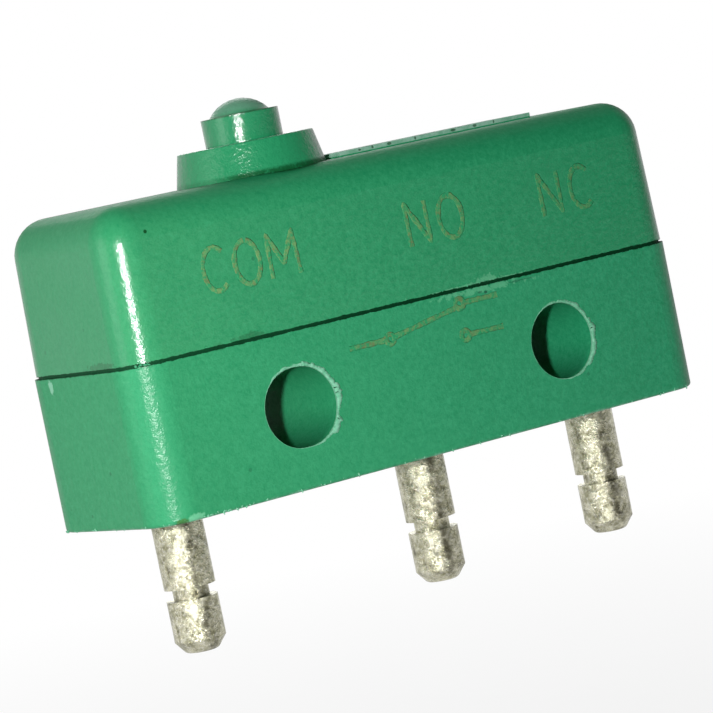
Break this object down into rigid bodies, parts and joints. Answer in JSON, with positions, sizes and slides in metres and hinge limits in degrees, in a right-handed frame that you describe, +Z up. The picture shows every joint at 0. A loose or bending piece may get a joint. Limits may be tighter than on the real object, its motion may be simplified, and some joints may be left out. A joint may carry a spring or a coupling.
{
  "type": "snap action switch",
  "caption": "Subminiature snap action switch in a two-part green case with a sprung pin plunger, turret solder posts and cross mounting holes.",
  "frame": {"origin": "midway between the two mounting hole axes, at mid width of the case", "axes": "+X along the case away from the plunger end, Y across the case along the mounting holes, +Z up the plunger, away from the posts"},
  "size_m": [0.0198, 0.0064, 0.0154],
  "materials": {
    "green_moulding": "satin moulded thermoset with fine grain",
    "tinned_brass": "dull grainy tin plate over brass",
    "plain_brass": "stamped and folded",
    "spring_copper": "spring sheet",
    "silver": "headed contact silver"
  },
  "bodies": {
    "case": {"case_base": "green_moulding", "case_cover": "green_moulding", "common_terminal": "tinned_brass", "normally_open_terminal": "tinned_brass", "normally_closed_terminal": "tinned_brass", "common_bracket": "plain_brass", "normally_open_bracket": "plain_brass", "normally_closed_bracket": "plain_brass", "normally_open_contact": "silver", "normally_closed_contact": "silver"},
    "plunger": {"plunger": "green_moulding"},
    "blade": {"snap_blade": "spring_copper", "moving_contact": "silver"}
  },
  "joints": [
    {"name": "plunger_slide", "type": "slide", "parent": "case", "child": "plunger", "axis": [0, 0, -1], "range_m": [0, 0.00055], "stiffness_N_per_m": 1100, "springref_m": -0.0006},
    {"name": "blade_pivot", "type": "hinge", "parent": "case", "child": "blade", "pos_m": [-0.00793, 0, 0.00414], "axis": [0, 1, 0], "range_deg": [0, 6.12]}
  ],
  "couplings": [
    {"joint": "blade_pivot", "follows": "plunger_slide", "rad_per_m": 194.17}
  ]
}
